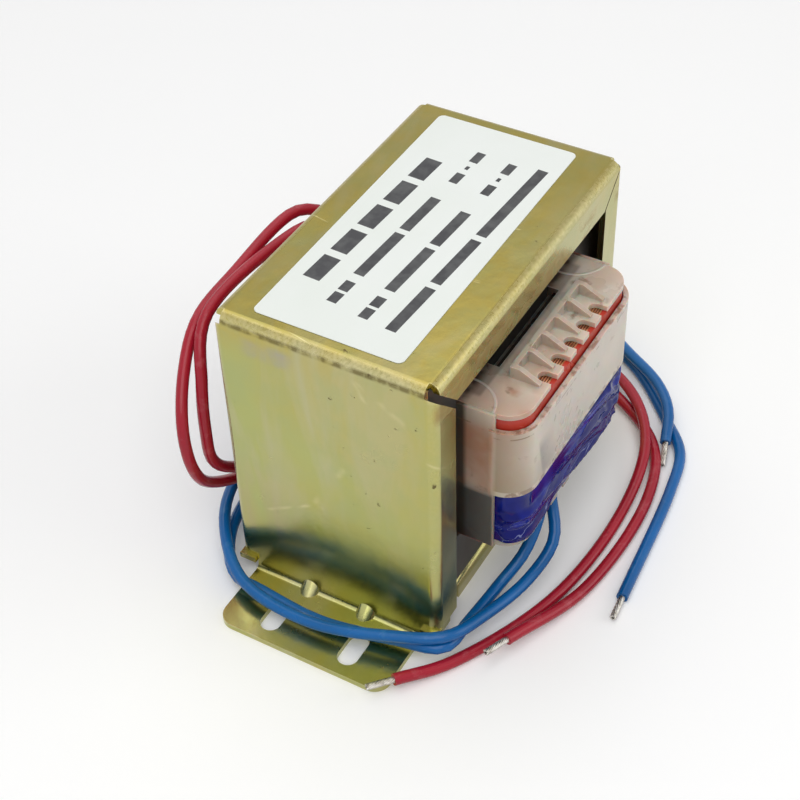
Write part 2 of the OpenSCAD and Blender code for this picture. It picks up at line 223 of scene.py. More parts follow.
leadRoutes = {
    "red_lead_a": [
        (12.6, 35.15, 59.4), (12.6, 35.15, 62.6), (8, 39.6, 64.6), (-14.6, 42.6, 60.9),
        (-30.5, 42.2, 58.7), (-40, 40.1, 50.9), (-47.1, 36.6, 41.4), (-47.5, 35, 30.2),
        (-40.8, 35.6, 19.8), (-15, 34.4, 6.4), (44, 33, 1.6), (54, 23, 3.1), (58, 8, 3.1),
        (58, -15.6, 3.1), (47.8, -32.4, 5.2), (33.7, -42.4, 4.6), (13.4, -45.9, 1.5),
        (-20.5, -43.3, 1.5), (-47.8, -31.6, 1.5), (-59.4, -23.2, 3.2)],
    "red_lead_b": [
        (6.3, 35.15, 59.4), (6.3, 35.15, 62.8), (0, 37.2, 63.2), (-30.4, 39.6, 60.6),
        (-39.4, 35.8, 49.1), (-41.8, 34.6, 37.9), (-40.8, 34.6, 27.6), (-34.4, 34, 19.9),
        (-10.5, 31, 6.6), (44, 29.4, 1.6), (49.4, 23.8, 3.1), (52.2, 8, 3.1), (52, -16, 3.1),
        (49.8, -23.8, 2.9), (37.4, -42.8, 1.5), (19.5, -49.6, 1.5), (-14.4, -48.6, 1.6),
        (-38.5, -40.4, 4.5)],
    "blue_lead_a": [
        (-6.3, -35.15, 22.3), (-6.3, -35.15, 18.4), (-12, -38.9, 11.1), (-21.9, -37.5, 6.6),
        (-36.4, -33.4, 6.4), (-47, -29.5, 8.3), (-51.3, -19.4, 7), (-55.6, 0.6, 5),
        (-53, 20.6, 5.6), (-43.2, 32, 8), (-31, 38, 8.4), (9, 42.6, 1.6), (41, 39.8, 1.6),
        (60, 29.6, 1.6), (67, 12, 1.6), (64.4, -22, 1.6), (44.8, -44.3, 1.5), (37, -50.6, 1.5),
        (23.6, -53.6, 1.5), (-12.9, -57.1, 1.5)],
    "blue_lead_b": [
        (-12.6, -35.15, 22.3), (-12.6, -35.15, 17.8), (-18, -34.4, 10.2), (-26, -32, 5.6),
        (-37.6, -30.4, 4.2), (-47.9, -29.4, 5.4), (-50.1, -18.4, 4), (-53, -0.8, 3.1),
        (-51.8, 16.8, 3.1), (-50.4, 24.8, 2.9), (-40.2, 32.4, 4.6), (13, 39, 1.6),
        (39, 37.2, 3.4), (61.6, 30.2, 5.6), (69.6, 8.4, 4.6), (68.4, -15.6, 3.6),
        (61.4, -26, 5.1), (53, -37.5, 6), (46.2, -43.2, 5.2), (37.3, -46.4, 2.8)],
}


def smoothRoute(points, step, fineStep):
    # centripetal spline through the route's points, cut into even steps
    route = [Vector(p) for p in points]
    route = [2 * route[0] - route[1]] + route + [2 * route[-1] - route[-2]]
    fine = []
    for i in range(1, len(route) - 2):
        p0, p1, p2, p3 = route[i - 1:i + 3]
        t0 = 0.0
        t1 = t0 + math.sqrt((p1 - p0).length)
        t2 = t1 + math.sqrt((p2 - p1).length)
        t3 = t2 + math.sqrt((p3 - p2).length)
        pieces = max(4, int((p2 - p1).length / fineStep))
        for k in range(pieces):
            t = t1 + (t2 - t1) * k / pieces
            a1 = p0 * ((t1 - t) / (t1 - t0)) + p1 * ((t - t0) / (t1 - t0))
            a2 = p1 * ((t2 - t) / (t2 - t1)) + p2 * ((t - t1) / (t2 - t1))
            a3 = p2 * ((t3 - t) / (t3 - t2)) + p3 * ((t - t2) / (t3 - t2))
            b1 = a1 * ((t2 - t) / (t2 - t0)) + a2 * ((t - t0) / (t2 - t0))
            b2 = a2 * ((t3 - t) / (t3 - t1)) + a3 * ((t - t1) / (t3 - t1))
            fine.append(b1 * ((t2 - t) / (t2 - t1)) + b2 * ((t - t1) / (t2 - t1)))
    fine.append(route[-2].copy())
    total = sum((b - a).length for a, b in zip(fine, fine[1:]))
    count = max(2, round(total / step))
    even, walked, target = [fine[0]], 0.0, total / count
    for a, b in zip(fine, fine[1:]):
        run = (b - a).length
        while walked + run >= target - 1e-9 and len(even) < count:
            even.append(a.lerp(b, (target - walked) / run))
            target += total / count
        walked += run
    even.append(fine[-1])
    return even, total


def makeLead(name, points, setup):
    line, length = smoothRoute(points, setup["step"], setup["fineStep"])
    data = bpy.data.curves.new(name + "_wire", "CURVE")
    data.dimensions = "3D"
    spline = data.splines.new("POLY")
    spline.points.add(len(line) - 1)
    for point, place in zip(spline.points, line):
        point.co = (*(place * mm), 1)
    data.bevel_depth = setup["diameter"] / 2 * mm
    data.bevel_resolution = setup["bevelSteps"]
    data.use_fill_caps = True
    lead = bpy.data.objects.new(name + "_wire", data)
    bpy.context.scene.collection.objects.link(lead)
    return lead, line, length


leads = {}
for leadName, route in leadRoutes.items():
    leadPiece, leadLine, leadLength = makeLead(leadName, route, leadSetup)
    leads[leadName] = (leadPiece, leadLine, leadLength)
    print("lead", leadName, round(leadLength, 1), "mm")


# light and floor

stageSetup = {
    "floorColour": (0.80, 0.80, 0.80, 1),
    "floorSeen": (0.98, 0.98, 0.98, 1),
    "floorSize": 4.0,
    "floorGlow": 0.04,
    "paleFrom": 0.45, "paleTo": 1.9, "paleGlow": 0.75,
    "worldStrength": 0.38,
    "worldSeen": 1.0,
    "lamps": [
        # name, place, aim, size, power
        ("keyLamp", (-0.55, -0.25, 0.95), (0, 0, 0.04), 0.9, 5.4),
        ("topLamp", (0.25, 0.30, 1.1), (0, 0, 0.04), 1.0, 3.6),
        ("sideLamp", (0.35, -0.95, 0.55), (0, 0, 0.04), 0.7, 2.4),
    ],
}


def seenRay(tree):
    # one for the camera and for what shows in gloss and glass
    path = addNode(tree, "LightPath").outputs
    seen = maths(tree, "MAXIMUM", path["Is Camera Ray"], path["Is Glossy Ray"])
    return maths(tree, "MAXIMUM", seen, path["Is Transmission Ray"])


def floorPaper(setup):
    material, tree, shader, place = newMaterial(
        "floorPaper", Roughness=0.6, Specular_IOR_Level=0.1, Emission_Color=(1, 1, 1, 1))
    seen = seenRay(tree)
    feed(tree, shader.inputs["Base Color"],
         mixColour(tree, seen, setup["floorColour"], setup["floorSeen"]))
    # the far floor pales into the background
    pale = remap(tree, lengthOf(tree, place), setup["paleFrom"], setup["paleTo"],
                 0.0, setup["paleGlow"])
    camera = addNode(tree, "LightPath").outputs["Is Camera Ray"]
    far = maths(tree, "MULTIPLY_ADD", pale, camera, times(tree, seen, setup["floorGlow"]))
    feed(tree, shader.inputs["Emission Strength"], far)
    return material


def makeStage(setup):
    half = setup["floorSize"] / 2
    mesh = bpy.data.meshes.new("floor")
    mesh.from_pydata([(-half, -half, 0), (half, -half, 0), (half, half, 0), (-half, half, 0)],
                     [], [(0, 1, 2, 3)])
    floor = bpy.data.objects.new("floor", mesh)
    bpy.context.scene.collection.objects.link(floor)
    mesh.materials.append(floorPaper(setup))

    world = bpy.data.worlds.new("studio")
    world.use_nodes = True
    bpy.context.scene.world = world
    tree = world.node_tree
    sky = tree.nodes["Background"]
    sky.inputs["Color"].default_value = (1, 1, 1, 1)
    level = remap(tree, seenRay(tree), 0.0, 1.0, setup["worldStrength"], setup["worldSeen"])
    feed(tree, sky.inputs["Strength"], level)

    for name, place, aim, size, power in setup["lamps"]:
        data = bpy.data.lights.new(name, "AREA")
        data.size = size
        data.energy = power
        lamp = bpy.data.objects.new(name, data)
        lamp.location = place
        lamp.rotation_euler = (Vector(aim) - Vector(place)).to_track_quat("-Z", "Y").to_euler()
        bpy.context.scene.collection.objects.link(lamp)


makeStage(stageSetup)
bpy.context.scene.view_settings.view_transform = "Standard"
print("stage set")


# shared effects

def edgeWearGroup():
    group, given, result = shaderGroup(
        "edgeWearAndHighlight",
        [("Vector", "Vector", None), ("Radius", "Float", 0.0006), ("Scale", "Float", 400.0)],
        [("Mask", "Float")])
    # mask of rounded edges from the bevel normal, used for worn edges and painted edge highlights
    rounded = addNode(group, "Bevel", samples=6)
    feed(group, rounded.inputs["Radius"], given["Radius"])
    flat = addNode(group, "NewGeometry")
    dot = addNode(group, "VectorMath", operation="DOT_PRODUCT")
    feed(group, dot.inputs[0], rounded.outputs["Normal"])
    feed(group, dot.inputs[1], flat.outputs["Normal"])
    turned = remap(group, dot.outputs["Value"], 0.985, 0.80)
    patchy = remap(group, noise(group, given["Vector"], given["Scale"], 4), 0.30, 0.62)
    feed(group, result["Mask"], maths(group, "MULTIPLY", turned, patchy, clamp=True))
    return group


def spotsGroup():
    group, given, result = shaderGroup(
        "spots",
        [("Vector", "Vector", None), ("Scale", "Float", 300.0), ("Low", "Float", 0.62),
         ("High", "Float", 0.72)],
        [("Mask", "Float")])
    wide = noise(group, given["Vector"], given["Scale"], 5, 0.6, 0.4)
    feed(group, result["Mask"], remap(group, wide, given["Low"], given["High"]))
    return group


def scratchesGroup():
    group, given, result = shaderGroup(
        "scratches",
        [("Vector", "Vector", None), ("Scale", "Float", 60.0), ("Thin", "Float", 0.02)],
        [("Mask", "Float")])
    cells = addNode(group, "TexVoronoi", feature="DISTANCE_TO_EDGE")
    bent = addNode(group, "VectorMath", operation="MULTIPLY")
    feed(group, bent.inputs[0], given["Vector"])
    feed(group, bent.inputs[1], (1.0, 0.22, 0.22))
    feed(group, cells.inputs["Vector"], bent.outputs["Vector"])
    feed(group, cells.inputs["Scale"], given["Scale"])
    line = remap(group, cells.outputs["Distance"], given["Thin"], 0.0)
    broken = remap(group, noise(group, given["Vector"], 90.0, 2), 0.60, 0.68)
    feed(group, result["Mask"], maths(group, "MULTIPLY", line, broken, clamp=True))
    return group


edgeWearAndHighlight = edgeWearGroup()
spots = spotsGroup()
scratches = scratchesGroup()


# zinc plate

zincSetup = {
    "green": (0.42, 0.44, 0.16, 1),
    "gold": (0.47, 0.40, 0.12, 1),
    "pale": (0.47, 0.45, 0.26, 1),
    "beige": (0.44, 0.36, 0.19, 1),
    "sage": (0.37, 0.41, 0.19, 1),
    # pale colour for worn plating and for painted highlights on bends and edges
    "wearAndHighlight": (0.76, 0.68, 0.40, 1),
    "topShade": (0.66, 0.62, 0.52, 1),
    "scuffed": (0.36, 0.34, 0.31, 1),
    "grime": (0.10, 0.07, 0.03, 1),
    "roughness": 0.20,
    # painted shade under the long bends
    "darkMark": (0.13, 0.10, 0.035, 1),
    "wax": (0.30, 0.17, 0.07, 1),
}


# in metres: where a mark begins and where it is full, or a band's two sides and softness
zincPlaces = {
    "goldRise": (0.069, 0.078),
    "goldSide": (0.002, -0.024),
    "stainSide": (0.004, 0.020),
    "stainTop": (0.040, 0.022),
    "stainFoot": (0.006, 0.012),
    "topBend": (0.0745, 0.0760),
    "bendShadeLine": (0.0762, 0.0768, 0.0006),
    "endFace": (0.0432, 0.0438),
    "topFace": (0.070, 0.072),
    "scuffHeight": (0.0705, 0.0735, 0.0015),
    "scuffSpan": (0.009, 0.017, 0.003),
    "lipTop": (0.0745, 0.0725),
    "lipFoot": (0.0675, 0.0690),
    "lipSide": (0.0255, 0.0262),
    "footFace": (0.0040, 0.0020),
}


def zincPlate(name, setup, tint):
    material, tree, shader, place = newMaterial(name, Metallic=1.0, IOR=1.6)
    axes = splitAxes(tree, place)
    ramp = rampsFrom(tree, zincPlaces)
    # the passivation drifts from green on the plates to gold towards the top
    drift = noise(tree, placed(tree, place, (1, 1, 1.4)), 16.0, 3, 0.5, 0.6)
    height = ramp(axes["Z"], "goldRise", 0.0, 0.35)
    golden = remap(tree, maths(tree, "ADD", drift, height), 0.40, 0.75)
    cloud = noise(tree, place, 46.0, 4, 0.6, 0.3)
    colour = mixColour(tree, golden, setup["green"], setup["gold"])
    # slanting rinse marks, browner low down at the back, yellower towards the coil side
    streak = noise(tree, placed(tree, place, (1, 2.4, 0.55), (0.3, 0, 0)), 36.0, 4, 0.6, 0.5)
    colour = mixColour(tree, remap(tree, streak, 0.46, 0.64, 0, 0.8), colour, setup["pale"])
    colour = mixColour(tree, ramp(axes["Y"], "goldSide", 0, 0.4), colour, setup["gold"])
    fine = noise(tree, place, 150.0, 5, 0.65, 0.2)
    colour = mixColour(tree, remap(tree, fine, 0.42, 0.62, 0, 0.35), colour, setup["sage"])
    stained = times(tree, ramp(axes["Y"], "stainSide"), ramp(axes["Z"], "stainTop"))
    stained = times(tree, stained, remap(tree, streak, 0.40, 0.56))
    stained = times(tree, stained, ramp(axes["Z"], "stainFoot"))
    colour = tinge(tree, colour, setup["beige"], stained, 0.8)
    # painted highlight: the plate is painted paler along its bends
    normal = splitAxes(tree, addNode(tree, "NewGeometry").outputs["True Normal"])
    facing = [maths(tree, "ABSOLUTE", normal[axis]) for axis in "XYZ"]
    facing = maths(tree, "MAXIMUM", maths(tree, "MAXIMUM", facing[0], facing[1]), facing[2])
    grit = remap(tree, noise(tree, place, 1400.0, 2), 0.34, 0.64, 0.35, 1.0)
    bend = times(tree, remap(tree, facing, 0.995, 0.95), grit)
    bend = times(tree, bend, ramp(axes["Z"], "topBend", 0.25, 1.0))
    colour = tinge(tree, colour, setup["wearAndHighlight"], bend, 0.45)
    # painted shade: a dark ragged line along the lower side of the long bends
    ragged = remap(tree, noise(tree, place, 420.0, 4), 0.36, 0.56, 0.2, 1.0)
    under = times(tree, band(tree, axes["Z"], *zincPlaces["bendShadeLine"]), ragged)
    under = times(tree, under, ramp(maths(tree, "ABSOLUTE", axes["X"]), "endFace"))
    colour = tinge(tree, colour, setup["darkMark"], under, 0.75)
    # painted shade: the upward-facing top is painted darker
    upward = times(tree, remap(tree, normal["Z"], 0.5, 0.95), ramp(axes["Z"], "topFace"))
    topColour = mixColour(tree, 1.0, colour, setup["topShade"], "MULTIPLY")
    colour = mixColour(tree, upward, colour, topColour)
    # a dull scuff under the top bend and a few pale drops low down
    high = times(tree, band(tree, axes["Z"], *zincPlaces["scuffHeight"]),
                 band(tree, axes["Y"], *zincPlaces["scuffSpan"]))
    scuff = useGroup(tree, spots, Vector=place, Scale=95.0, Low=0.34, High=0.66)["Mask"]
    colour = mixColour(tree, times(tree, times(tree, high, scuff), 0.75), colour, setup["scuffed"])
    drop = useGroup(tree, spots, Vector=place, Scale=75.0, Low=0.665, High=0.685)["Mask"]
    colour = mixColour(tree, times(tree, times(tree, drop, stained), 0.8), colour, setup["wearAndHighlight"])
    # pale edges and scratches: worn plating, with a painted highlight along the edges
    wearAndHighlight = useGroup(tree, edgeWearAndHighlight, Vector=place, Radius=0.0006, Scale=260.0)["Mask"]
    scratch = useGroup(tree, scratches, Vector=place, Scale=48.0, Thin=0.006)["Mask"]
    light = maths(tree, "MAXIMUM", times(tree, wearAndHighlight, 0.5), times(tree, scratch, 0.45))
    colour = mixColour(tree, light, colour, setup["wearAndHighlight"])
    # brown wax and flux along the top lips, small specks elsewhere
    lipFace = times(tree, ramp(axes["Z"], "lipTop"), ramp(axes["Z"], "lipFoot"))
    beside = ramp(maths(tree, "ABSOLUTE", axes["Y"]), "lipSide")
    lipFace = times(tree, lipFace, beside)
    patch = noise(tree, placed(tree, place, (1, 1, 1.6)), 85.0, 4, 0.6, 0.8)
    wax = times(tree, lipFace, remap(tree, patch, 0.42, 0.60))
    colour = tinge(tree, colour, setup["wax"], wax, 0.55)
    speck = useGroup(tree, spots, Vector=place, Scale=300.0, Low=0.685, High=0.715)["Mask"]
    cluster = useGroup(tree, spots, Vector=place, Scale=42.0, Low=0.46, High=0.58)["Mask"]
    speck = times(tree, speck, cluster)
    colour = tinge(tree, colour, setup["grime"], speck, 0.8)
    colour = mixColour(tree, 1.0, colour, tint, "MULTIPLY")
    feed(tree, shader.inputs["Base Color"], colour)
    rough = remap(tree, cloud, 0.3, 0.7, setup["roughness"] - 0.05, setup["roughness"] + 0.08)
    rough = maths(tree, "ADD", rough, times(tree, bend, 0.12))
    rough = maths(tree, "ADD", rough, ramp(axes["Z"], "footFace", 0.0, 0.03))
    rough = maths(tree, "ADD", rough, times(tree, wax, 0.25))
    rough = maths(tree, "ADD", rough, times(tree, speck, 0.3))
    feed(tree, shader.inputs["Roughness"], rough)
    dents = bump(tree, noise(tree, place, 30.0, 2), 0.30, 0.0011)
    worked = bump(tree, noise(tree, placed(tree, place, (1, 1, 0.5)), 240.0, 4), 0.22, 0.00025, dents)
    grooves = bump(tree, scratch, 0.25, -0.0001, worked)
    feed(tree, shader.inputs["Normal"], bump(tree, noise(tree, place, 1200.0, 2), 0.04, 0.0001, grooves))
    return material


zincCover = zincPlate("zincCover", zincSetup, (1, 1, 1, 1))
zincBase = zincPlate("zincBase", zincSetup, (0.82, 0.80, 0.76, 1))


# laminations

laminationSetup = {
    "sheetsPerMetre": 2000.0,
    "dark": (0.10, 0.085, 0.072, 1),
    "light": (0.20, 0.185, 0.165, 1),
    "gap": (0.02, 0.02, 0.02, 1),
    "varnishAndShade": (0.040, 0.022, 0.012, 1),
}


def laminationSteel(setup):
    material, tree, shader, place = newMaterial("laminationSteel", Metallic=0.7)
    axes = splitAxes(tree, place)
    # half-millimetre sheets seen on their cut edges
    sheet = maths(tree, "FRACT", times(tree, axes["Y"], setup["sheetsPerMetre"]))
    gap = remap(tree, maths(tree, "ABSOLUTE", maths(tree, "SUBTRACT", sheet, 0.5)), 0.38, 0.48)
    tone = noise(tree, place, 60.0, 4)
    colour = mottle(tree, tone, setup["dark"], setup["light"])
    colour = tinge(tree, colour, setup["gap"], gap, 0.7)
    # dark varnish patches, with painted shade growing towards the top under the cover's lips
    varnishAndShade = useGroup(tree, spots, Vector=place, Scale=70.0, Low=0.46, High=0.60)["Mask"]
    top = remap(tree, axes["Z"], 0.0600, 0.0640, 0.45, 0.95)
    colour = mixColour(tree, times(tree, varnishAndShade, top), colour, setup["varnishAndShade"])
    feed(tree, shader.inputs["Base Color"], colour)
    varyRoughness(tree, shader, tone, 0.30, 0.5)
    feed(tree, shader.inputs["Normal"], bump(tree, gap, 0.4, -0.0001))
    return material


laminationMaterial = laminationSteel(laminationSetup)


# nylon

nylonSetup = {
    "milky": (0.56, 0.49, 0.41, 1),
    "clear": (0.66, 0.59, 0.50, 1),
    "tan": (0.34, 0.22, 0.14, 1),
    "olive": (0.30, 0.26, 0.16, 1),
    "warm": (0.44, 0.22, 0.14, 1),
    "shade": (0.045, 0.045, 0.045, 1),
    "stain": (0.16, 0.08, 0.035, 1),
    "raised": (0.30, 0.25, 0.19, 1),
    "lowRim": (0.22, 0.22, 0.18, 1),
    "trench": (0.045, 0.030, 0.020, 1),
    "coreShade": (0.035, 0.022, 0.015, 1),
    "rib": (0.78, 0.74, 0.68, 1),
    "edge": (0.80, 0.76, 0.70, 1),
    "innerEdge": (0.030, 0.022, 0.014, 1),
    "mark": (0.22, 0.20, 0.20, 1),
    "bottomBand": (0.72, 0.67, 0.58, 1),
}


nylonSockets = {"Roughness": 0.32, "IOR": 1.53, "Subsurface_Weight": 0.8, "Subsurface_Scale": 0.0028}


bobbinPlaces = {
    "flange": (0.0594, 0.0611, 0.0004),
    "warmEnd": (-0.014, -0.024),
    "warmLean": (0.004, -0.020),
    "raised": (0.0609, 0.0613),
    "lowRim": (0.0225, 0.0222),
    "coreSide": (0.0246, 0.0228),
    "trenchSide": (0.0262, 0.0256),
    "trenchEnd": (0.0250, 0.0240),
    "trenchTop": (0.0612, 0.0606),
    "cornerRib": (0.0079, 0.0083, 0.0002),
}


def nylonBobbin(setup):
    material, tree, shader, place = newMaterial("nylonBobbin", **nylonSockets)
    axes = splitAxes(tree, place)
    ramp = rampsFrom(tree, bobbinPlaces)
    depth = maths(tree, "ABSOLUTE", axes["Y"])
    along = maths(tree, "ABSOLUTE", axes["X"])
    height = axes["Z"]
    cloud = noise(tree, place, 60.0, 4, 0.6, 0.4)
    colour = mottle(tree, cloud, setup["milky"], setup["clear"])
    # copper and tape shine through the thin flange, least under the open pockets
    glow = remap(tree, noise(tree, place, 75.0, 3, 0.5, 0.8), 0.40, 0.62)
    flange = band(tree, height, *bobbinPlaces["flange"])
    glow = maths(tree, "MAXIMUM", glow, ramp(axes["X"], "warmEnd", 0.0, 0.6))
    leaning = ramp(axes["X"], "warmLean", 0.25, 0.85)
    colour = mixColour(tree, times(tree, times(tree, glow, flange), leaning), colour, setup["warm"])
    raised = ramp(height, "raised")
    colour = tinge(tree, colour, setup["raised"], raised, 0.45)
    low = ramp(height, "lowRim")
    colour = tinge(tree, colour, setup["lowRim"], low, 0.6)
    # painted shade in the trench and beside the core's face
    nearCore = ramp(depth, "coreSide")
    trench = times(tree, ramp(depth, "trenchSide"), ramp(along, "trenchEnd"))
    trench = times(tree, trench, ramp(height, "trenchTop"))
    colour = tinge(tree, colour, setup["trench"], trench, 0.75)
    ragged = remap(tree, noise(tree, place, 320.0, 4), 0.30, 0.55, 0.45, 1.0)
    colour = mixColour(tree, times(tree, times(tree, nearCore, ragged), 0.92), colour,
                       setup["coreShade"])
    # a thin moulded rib runs round each corner of the top flange
    corner = addNode(tree, "CombineXYZ")
    feed(tree, corner.inputs["X"], maths(tree, "SUBTRACT", along, 0.0285))
    feed(tree, corner.inputs["Y"], maths(tree, "SUBTRACT", depth, 0.0225))
    ring = band(tree, lengthOf(tree, corner.outputs["Vector"]), *bobbinPlaces["cornerRib"])
    rib = times(tree, flange, ring)
    colour = tinge(tree, colour, setup["rib"], rib, 0.45)
    flux = useGroup(tree, spots, Vector=place, Scale=190.0, Low=0.62, High=0.72)["Mask"]
    colour = tinge(tree, colour, setup["stain"], flux, 0.6)
    edge = useGroup(tree, edgeWearAndHighlight, Vector=place, Radius=0.0004, Scale=500.0)["Mask"]
    colour = tinge(tree, colour, setup["edge"], edge, 0.5)
    feed(tree, shader.inputs["Base Color"], colour)
    varyRoughness(tree, shader, cloud, 0.24, 0.40)
    wave = bump(tree, noise(tree, place, 130.0, 2), 0.25, 0.0004)
    feed(tree, shader.inputs["Normal"], bump(tree, rib, 0.6, 0.0003, wave))
    return material


coverPlaces = {
    "cheek": (0.0322, 0.0308),
    "overTape": (0.0362, 0.0392),
    "cheekTop": (0.0610, 0.0560),
    "coreSide": (0.0250, 0.0238),
    "shell": (0.0312, 0.0322),
    "shellCorner": (0.0235, 0.0288),
    "dullFrom": (0.050, 0.039),
    "dullSpan": (0.018, 0.026),
    "markLeft": (-0.0226, -0.0218),
    "markRight": (-0.0150, -0.0212),
    "markHeight": (0.0410, 0.0480, 0.0035),
    "frontWall": (-0.0370, -0.0380),
    "shellJoint": (0.05505, 0.0553, 0.0001),
    "topJoint": (0.0566, 0.0569, 0.0001),
    "lowBand": (0.0376, 0.0392, 0.0002),
}


def nylonCover(setup):
    material, tree, shader, place = newMaterial("nylonCover", **nylonSockets)
    axes = splitAxes(tree, place)
    ramp = rampsFrom(tree, coverPlaces)
    depth = maths(tree, "ABSOLUTE", axes["Y"])
    along = axes["X"]
    height = axes["Z"]
    cloud = noise(tree, place, 55.0, 4, 0.6, 0.4)
    colour = mottle(tree, cloud, setup["milky"], setup["clear"])
    # the thin cheeks show the warm windings above and the dark tape below
    cheek = ramp(depth, "cheek")
    upper = ramp(height, "overTape")
    tint = mixColour(tree, upper, setup["shade"], setup["warm"])
    uneven = remap(tree, noise(tree, place, 70.0, 3, 0.5, 0.6), 0.34, 0.62, 0.45, 0.95)
    nearTop = ramp(height, "cheekTop", 0.35, 1.0)
    amount = times(tree, uneven, nearTop)
    amount = maths(tree, "MAXIMUM", amount, maths(tree, "SUBTRACT", 0.92, upper))
    colour = mixColour(tree, times(tree, cheek, amount), colour, tint)
    # the cheek's inner edge stands in the dark beside the core
    nearCore = ramp(depth, "coreSide")
    colour = tinge(tree, colour, setup["innerEdge"], nearCore, 0.9)
    # the shell is browner round its corners and duller low down
    shell = ramp(depth, "shell")
    rounded = ramp(maths(tree, "ABSOLUTE", along), "shellCorner")
    colour = mixColour(tree, times(tree, times(tree, rounded, shell), 0.8), colour, setup["tan"])
    dull = times(tree, ramp(height, "dullFrom"),
                 ramp(maths(tree, "ABSOLUTE", along), "dullSpan", 0.15, 0.55))
    colour = mixColour(tree, times(tree, dull, shell), colour, setup["olive"])
    # a soft dark slanting patch on the front wall, a painted shadow of something inside showing through
    fall = maths(tree, "SUBTRACT", 0.052, height)
    lean = maths(tree, "ADD", along, times(tree, fall, -0.22))
    mark = times(tree, ramp(lean, "markLeft"), ramp(lean, "markRight"))
    mark = times(tree, mark, band(tree, height, *coverPlaces["markHeight"]))
    mark = times(tree, mark, ramp(axes["Y"], "frontWall"))
    colour = tinge(tree, colour, setup["mark"], mark, 0.62)
    # flux along the shell's joints and a paler bottom band with brown spots
    topJoint = times(tree, band(tree, height, *coverPlaces["shellJoint"]), shell)
    topJoint = maths(tree, "MAXIMUM", topJoint, band(tree, height, *coverPlaces["topJoint"]))
    crumbs = remap(tree, noise(tree, place, 230.0, 5, 0.7), 0.47, 0.56)
    lowBand = band(tree, height, *coverPlaces["lowBand"])
    colour = mixColour(tree, times(tree, times(tree, lowBand, shell), 0.5), colour,
                       setup["bottomBand"])
    joints = times(tree, maths(tree, "MAXIMUM", topJoint, lowBand), crumbs)
    flux = useGroup(tree, spots, Vector=place, Scale=170.0, Low=0.64, High=0.74)["Mask"]
    darkMark = maths(tree, "MAXIMUM", times(tree, joints, 0.65), times(tree, flux, 0.45))
    colour = mixColour(tree, darkMark, colour, setup["stain"])
    feed(tree, shader.inputs["Base Color"], colour)
    varyRoughness(tree, shader, cloud, 0.24, 0.40)
    feed(tree, shader.inputs["Normal"], bump(tree, noise(tree, place, 130.0, 2), 0.25, 0.0004))
    return material


nylonBobbinMaterial = nylonBobbin(nylonSetup)
nylonCoverMaterial = nylonCover(nylonSetup)


# wire, tape and insulation

def copperWire(name, first, second):
    material, tree, shader, place = newMaterial(name, Metallic=0.85, Coat_Weight=0.4)
    tone = noise(tree, place, 500.0, 3)
    colour = mixColour(tree, remap(tree, tone, 0.3, 0.7), first, second)
    # painted shade where the coil sits beside the core
    axes = splitAxes(tree, place)
    nearCore = remap(tree, maths(tree, "ABSOLUTE", axes["Y"]), 0.0285, 0.0275)
    colour = tinge(tree, colour, (0.03, 0.02, 0.014, 1), nearCore, 0.92)
    feed(tree, shader.inputs["Base Color"], colour)
    varyRoughness(tree, shader, tone, 0.22, 0.36)
    return material


def tapeFilm(name, first, second, creases, gloss, shine):
    material, tree, shader, place = newMaterial(name, IOR=1.5, Specular_IOR_Level=shine)
    tone = noise(tree, place, 80.0, 4, 0.6, 0.5)
    feed(tree, shader.inputs["Base Color"],
         mottle(tree, tone, first, second))
    fold = noise(tree, placed(tree, place, (0.5, 1, 2.4), (0, 0.35, 0.2)), 120.0, 4, 0.6, 1.0)
    feed(tree, shader.inputs["Normal"], bump(tree, fold, creases, 0.0007))
    varyRoughness(tree, shader, tone, gloss, gloss + 0.12)
    return material


foldSetup = {
    "deep": (0.001, 0.004, 0.135, 1),
    "plate": (0.008, 0.022, 0.32, 1),
    "violet": (0.040, 0.004, 0.11, 1),
    "creaseHighlight": (0.30, 0.33, 0.58, 1),
}


def foldedFilm(name, setup):
    # thin film pulled tight: painted reflection, the flat plates between folds painted lighter and the
    # folds darker, with a painted highlight along the creases
    material, tree, shader, place = newMaterial(name, IOR=1.5, Specular_IOR_Level=0.18)
    axes = splitAxes(tree, place)
    lying = placed(tree, place, (0.32, 0.7, 1.5), (0, 0.10, 0))
    field = noise(tree, lying, 84.0, 2, 0.4, 0.8)
    plates = remap(tree, field, 0.485, 0.51)
    tone = noise(tree, place, 80.0, 3)
    plateTone = mottle(tree, tone, setup["deep"], setup["plate"])
    colour = mixColour(tree, plates, setup["deep"], plateTone)
    streaks = noise(tree, placed(tree, place, (0.22, 1, 2.0), (0, -0.12, 0)), 190.0, 2, 0.5, 0.6)
    violet = times(tree, remap(tree, streaks, 0.56, 0.60), remap(tree, field, 0.50, 0.46))
    colour = tinge(tree, colour, setup["violet"], violet, 0.5)
    rim = band(tree, field, 0.478, 0.488, 0.003)
    lowFolds = times(tree, band(tree, streaks, 0.495, 0.503, 0.004),
                     remap(tree, axes["Z"], 0.0290, 0.0245))
    creaseHighlight = maths(tree, "MAXIMUM", times(tree, rim, remap(tree, tone, 0.52, 0.62)), lowFolds)
    colour = tinge(tree, colour, setup["creaseHighlight"], creaseHighlight, 0.55)
    feed(tree, shader.inputs["Base Color"], colour)
    varyRoughness(tree, shader, tone, 0.05, 0.10)
    stepped = bump(tree, plates, 0.35, 0.0003)
    feed(tree, shader.inputs["Normal"], bump(tree, streaks, 0.10, 0.0004, stepped))
    return material


